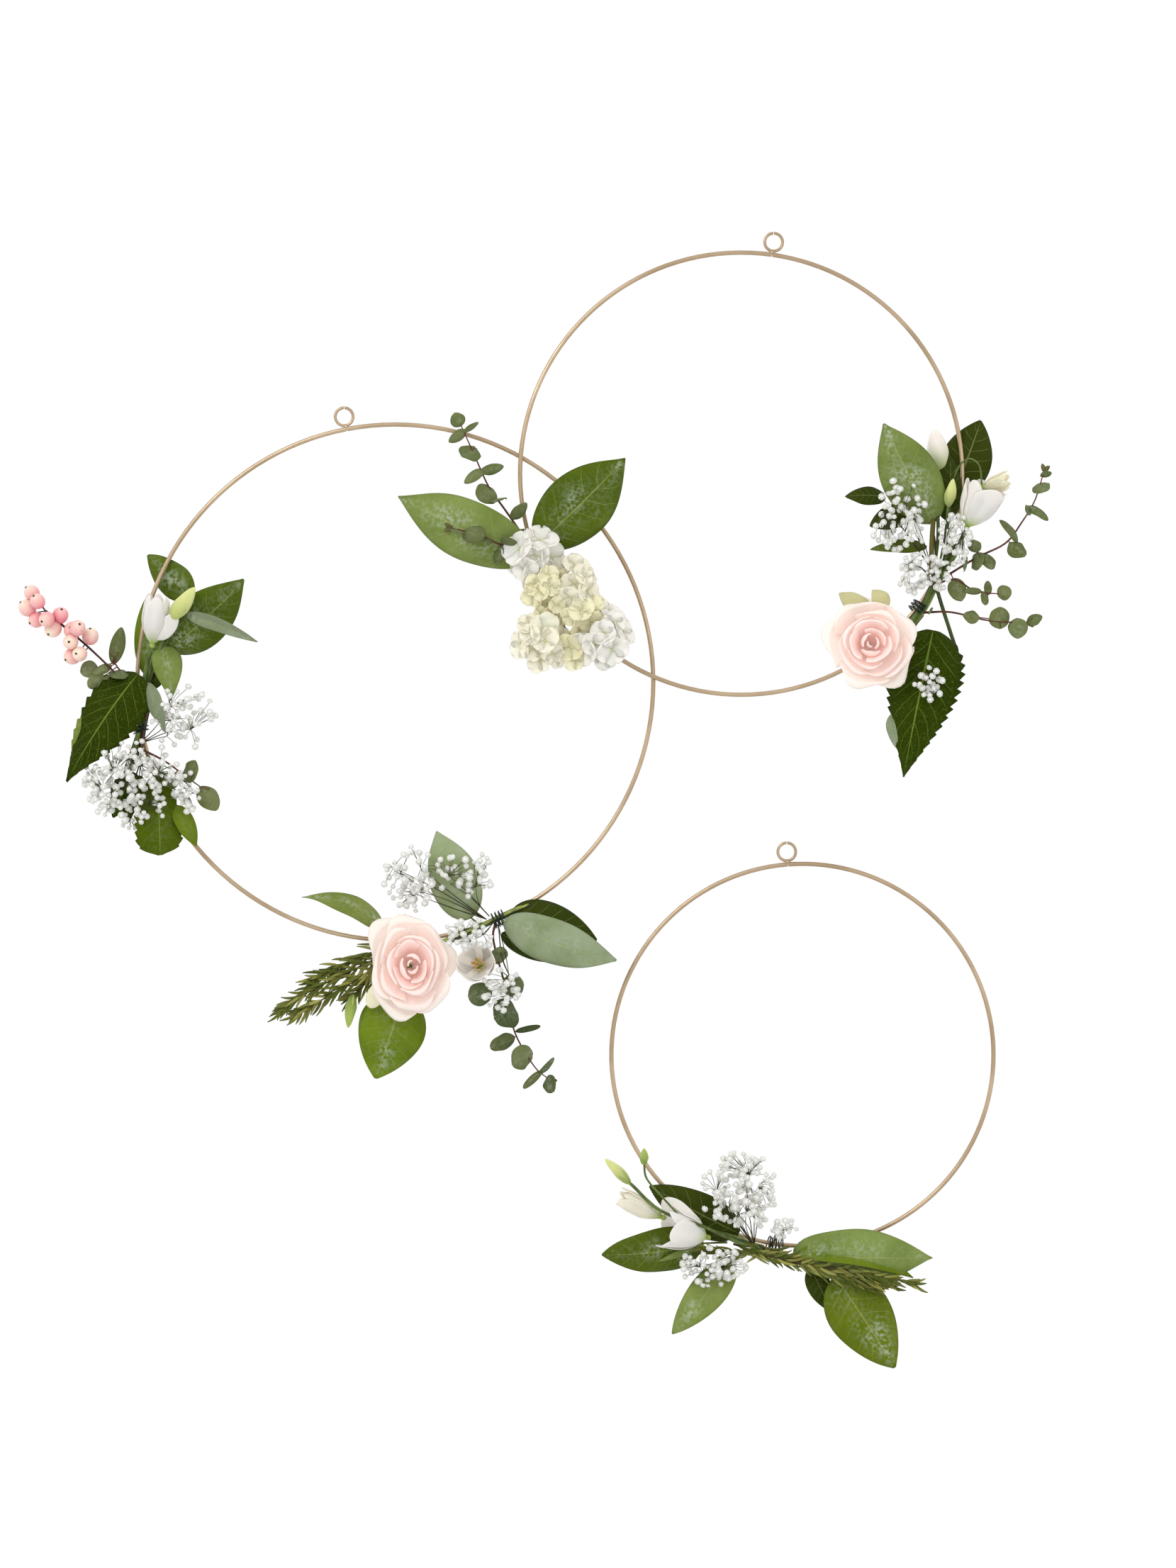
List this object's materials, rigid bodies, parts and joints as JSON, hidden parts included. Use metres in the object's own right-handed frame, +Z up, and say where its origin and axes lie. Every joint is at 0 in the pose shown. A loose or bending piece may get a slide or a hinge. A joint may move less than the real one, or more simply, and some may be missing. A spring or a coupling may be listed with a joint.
{
  "type": "wreath frame set",
  "caption": "Hanging wire hoops with brazed rings, each dressed with wired posies of flowers and foliage.",
  "frame": {"origin": "middle of the large frame's hanging ring hole", "axes": "+Z up, +X to the viewer's right, the front of the hoops towards -Y"},
  "size_m": [0.6939, 0.0688, 0.7595],
  "materials": {
    "gold_wire": "satin champagne gold lacquer",
    "braze": "brazed bead, satin",
    "binding_wire": "dark green florist wire",
    "stems": "cut stems and twigs",
    "eucalyptus": "matte grey green round leaves",
    "rosemary": "dry needle leaves",
    "toothed_leaf": "deep veined leaf with a toothed edge",
    "salal_leaf": "leathery leaf with a pale midrib and bloom",
    "rose_petal": "soft blush petals",
    "hydrangea": "cream florets",
    "white_petal": "white petals with a lime base",
    "gypsophila": "small white double florets on thin stems",
    "snowberry": "pink to cream berries with dark tips"
  },
  "bodies": {
    "large_frame": {"large_hanging_ring": "gold_wire", "large_hoop": "gold_wire", "large_left_berry_twig": "stems", "large_left_binding_wire": "binding_wire", "large_left_eucalyptus": "eucalyptus", "large_left_folded_leaf": "salal_leaf", "large_left_gypsophila": "gypsophila", "large_left_lisianthus": "white_petal", "large_left_lisianthus_bud": "white_petal", "large_left_low_leaves": "toothed_leaf", "large_left_salal_leaves": "salal_leaf", "large_left_snowberries": "snowberry", "large_left_stem_bundle": "stems", "large_left_toothed_leaf": "toothed_leaf", "large_low_binding_wire": "binding_wire", "large_low_eucalyptus": "eucalyptus", "large_low_gypsophila": "gypsophila", "large_low_lisianthus": "white_petal", "large_low_lisianthus_bud": "white_petal", "large_low_rose": "rose_petal", "large_low_rosemary": "rosemary", "large_low_salal_left": "salal_leaf", "large_low_salal_right": "salal_leaf", "large_low_stem_bundle": "stems", "large_ring_braze": "braze"},
    "medium_frame": {"medium_hanging_ring": "gold_wire", "medium_hoop": "gold_wire", "medium_left_binding_wire": "binding_wire", "medium_left_eucalyptus": "eucalyptus", "medium_left_hydrangea": "hydrangea", "medium_left_hydrangea_stalks": "stems", "medium_left_salal_left": "salal_leaf", "medium_left_salal_right": "salal_leaf", "medium_left_stem_bundle": "stems", "medium_right_binding_wire": "binding_wire", "medium_right_cut_stem": "stems", "medium_right_eucalyptus": "eucalyptus", "medium_right_gypsophila": "gypsophila", "medium_right_lisianthus": "white_petal", "medium_right_lisianthus_buds": "white_petal", "medium_right_rose": "rose_petal", "medium_right_salal_back": "salal_leaf", "medium_right_salal_front": "salal_leaf", "medium_right_stem_bundle": "stems", "medium_right_toothed_leaf": "toothed_leaf", "medium_ring_braze": "braze"},
    "small_frame": {"small_hanging_ring": "gold_wire", "small_hoop": "gold_wire", "small_low_binding_wire": "binding_wire", "small_low_bud_stem": "stems", "small_low_gypsophila": "gypsophila", "small_low_lisianthus": "white_petal", "small_low_lisianthus_buds": "white_petal", "small_low_rosemary": "rosemary", "small_low_salal_left": "salal_leaf", "small_low_salal_lower_right": "salal_leaf", "small_low_salal_right": "salal_leaf", "small_low_stem_bundle": "stems", "small_ring_braze": "braze"}
  },
  "joints": [
    {"name": "medium_swing", "type": "hinge", "parent": "large_frame", "child": "medium_frame", "pos_m": [0.2887, -0.0034, 0.1169], "axis": [0, -1, 0], "range_deg": [-5, 5]},
    {"name": "small_swing", "type": "hinge", "parent": "large_frame", "child": "small_frame", "pos_m": [0.2977, 0, -0.2926], "axis": [0, -1, 0], "range_deg": [-5, 5]}
  ]
}
